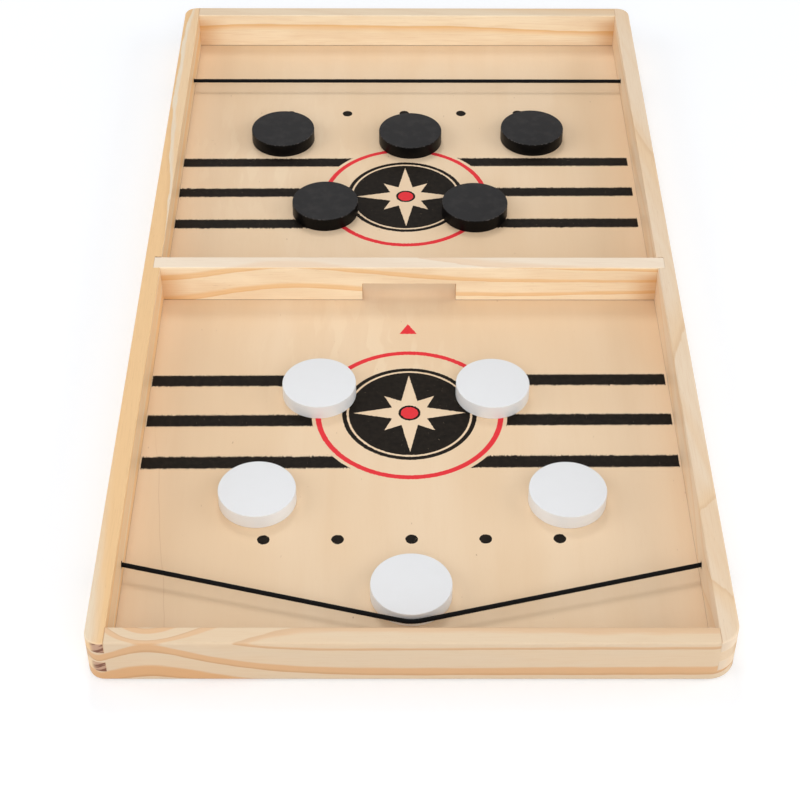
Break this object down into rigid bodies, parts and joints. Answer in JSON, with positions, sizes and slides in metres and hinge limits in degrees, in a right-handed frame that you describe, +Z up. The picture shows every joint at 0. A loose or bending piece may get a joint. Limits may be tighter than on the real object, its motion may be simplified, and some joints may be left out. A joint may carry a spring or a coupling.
{
  "type": "sling puck game",
  "caption": "Shallow wooden table-game tray with finger-jointed rails, a gated divider, an elastic sling cord across each end and sliding round pucks in white and black.",
  "frame": {"origin": "middle of the underside of the box", "axes": "+Z up out of the tray, +Y along the box from the near player to the far one, +X to the near player's right"},
  "size_m": [0.3, 0.56, 0.026],
  "materials": {
    "pine": "sanded pine, clear matt lacquer",
    "plywood": "pale plywood, clear satin lacquer, screen-printed field lines",
    "pin_steel": "plain wire steel",
    "elastic_cord": "black braided cover over an elastic core",
    "white_paint": "turned wood, satin white paint",
    "black_paint": "turned wood, satin black paint"
  },
  "bodies": {
    "board": {"left_rail": "pine", "right_rail": "pine", "front_rail": "pine", "back_rail": "pine", "base_panel": "plywood", "panel_pins": "pin_steel", "divider": "pine", "front_cord_left_knot": "elastic_cord", "front_cord_right_knot": "elastic_cord", "back_cord_left_knot": "elastic_cord", "back_cord_right_knot": "elastic_cord"},
    "front_sling": {"front_cord": "elastic_cord"},
    "back_sling": {"back_cord": "elastic_cord"},
    "white_puck_1": {"white_puck_1": "white_paint"},
    "white_puck_2": {"white_puck_2": "white_paint"},
    "white_puck_3": {"white_puck_3": "white_paint"},
    "white_puck_4": {"white_puck_4": "white_paint"},
    "white_puck_5": {"white_puck_5": "white_paint"},
    "black_puck_1": {"black_puck_1": "black_paint"},
    "black_puck_2": {"black_puck_2": "black_paint"},
    "black_puck_3": {"black_puck_3": "black_paint"},
    "black_puck_4": {"black_puck_4": "black_paint"},
    "black_puck_5": {"black_puck_5": "black_paint"}
  },
  "joints": [
    {"name": "front_sling_release", "type": "slide", "parent": "board", "child": "front_sling", "axis": [0, 1, 0], "range_m": [0, 0.0345], "deforming": ["front_cord"]},
    {"name": "back_sling_draw", "type": "slide", "parent": "board", "child": "back_sling", "axis": [0, 1, 0], "range_m": [0, 0.0345], "stiffness_N_per_m": 60, "deforming": ["back_cord"]},
    {"name": "white_puck_1_slide", "type": "slide", "parent": "board", "child": "white_puck_1", "axis": [0, 1, 0], "range_m": [0, 0.0598]},
    {"name": "white_puck_2_slide", "type": "slide", "parent": "board", "child": "white_puck_2", "axis": [0, 1, 0], "range_m": [0, 0.06]},
    {"name": "white_puck_3_slide", "type": "slide", "parent": "board", "child": "white_puck_3", "axis": [0, 1, 0], "range_m": [-0.029, 0.05]},
    {"name": "white_puck_4_slide", "type": "slide", "parent": "board", "child": "white_puck_4", "axis": [0, 1, 0], "range_m": [-0.029, 0.05]},
    {"name": "white_puck_5_slide", "type": "slide", "parent": "front_sling", "child": "white_puck_5", "axis": [0, 1, 0], "range_m": [0, 0.235]},
    {"name": "black_puck_1_slide", "type": "slide", "parent": "board", "child": "black_puck_1", "axis": [0, 1, 0], "range_m": [-0.048, 0.035]},
    {"name": "black_puck_2_slide", "type": "slide", "parent": "board", "child": "black_puck_2", "axis": [0, 1, 0], "range_m": [-0.06, 0.037]},
    {"name": "black_puck_3_slide", "type": "slide", "parent": "board", "child": "black_puck_3", "axis": [0, 1, 0], "range_m": [-0.06, 0.034]},
    {"name": "black_puck_4_slide", "type": "slide", "parent": "board", "child": "black_puck_4", "axis": [0, 1, 0], "range_m": [-0.0547, 0]},
    {"name": "black_puck_5_slide", "type": "slide", "parent": "board", "child": "black_puck_5", "axis": [0, 1, 0], "range_m": [-0.0534, 0]}
  ]
}
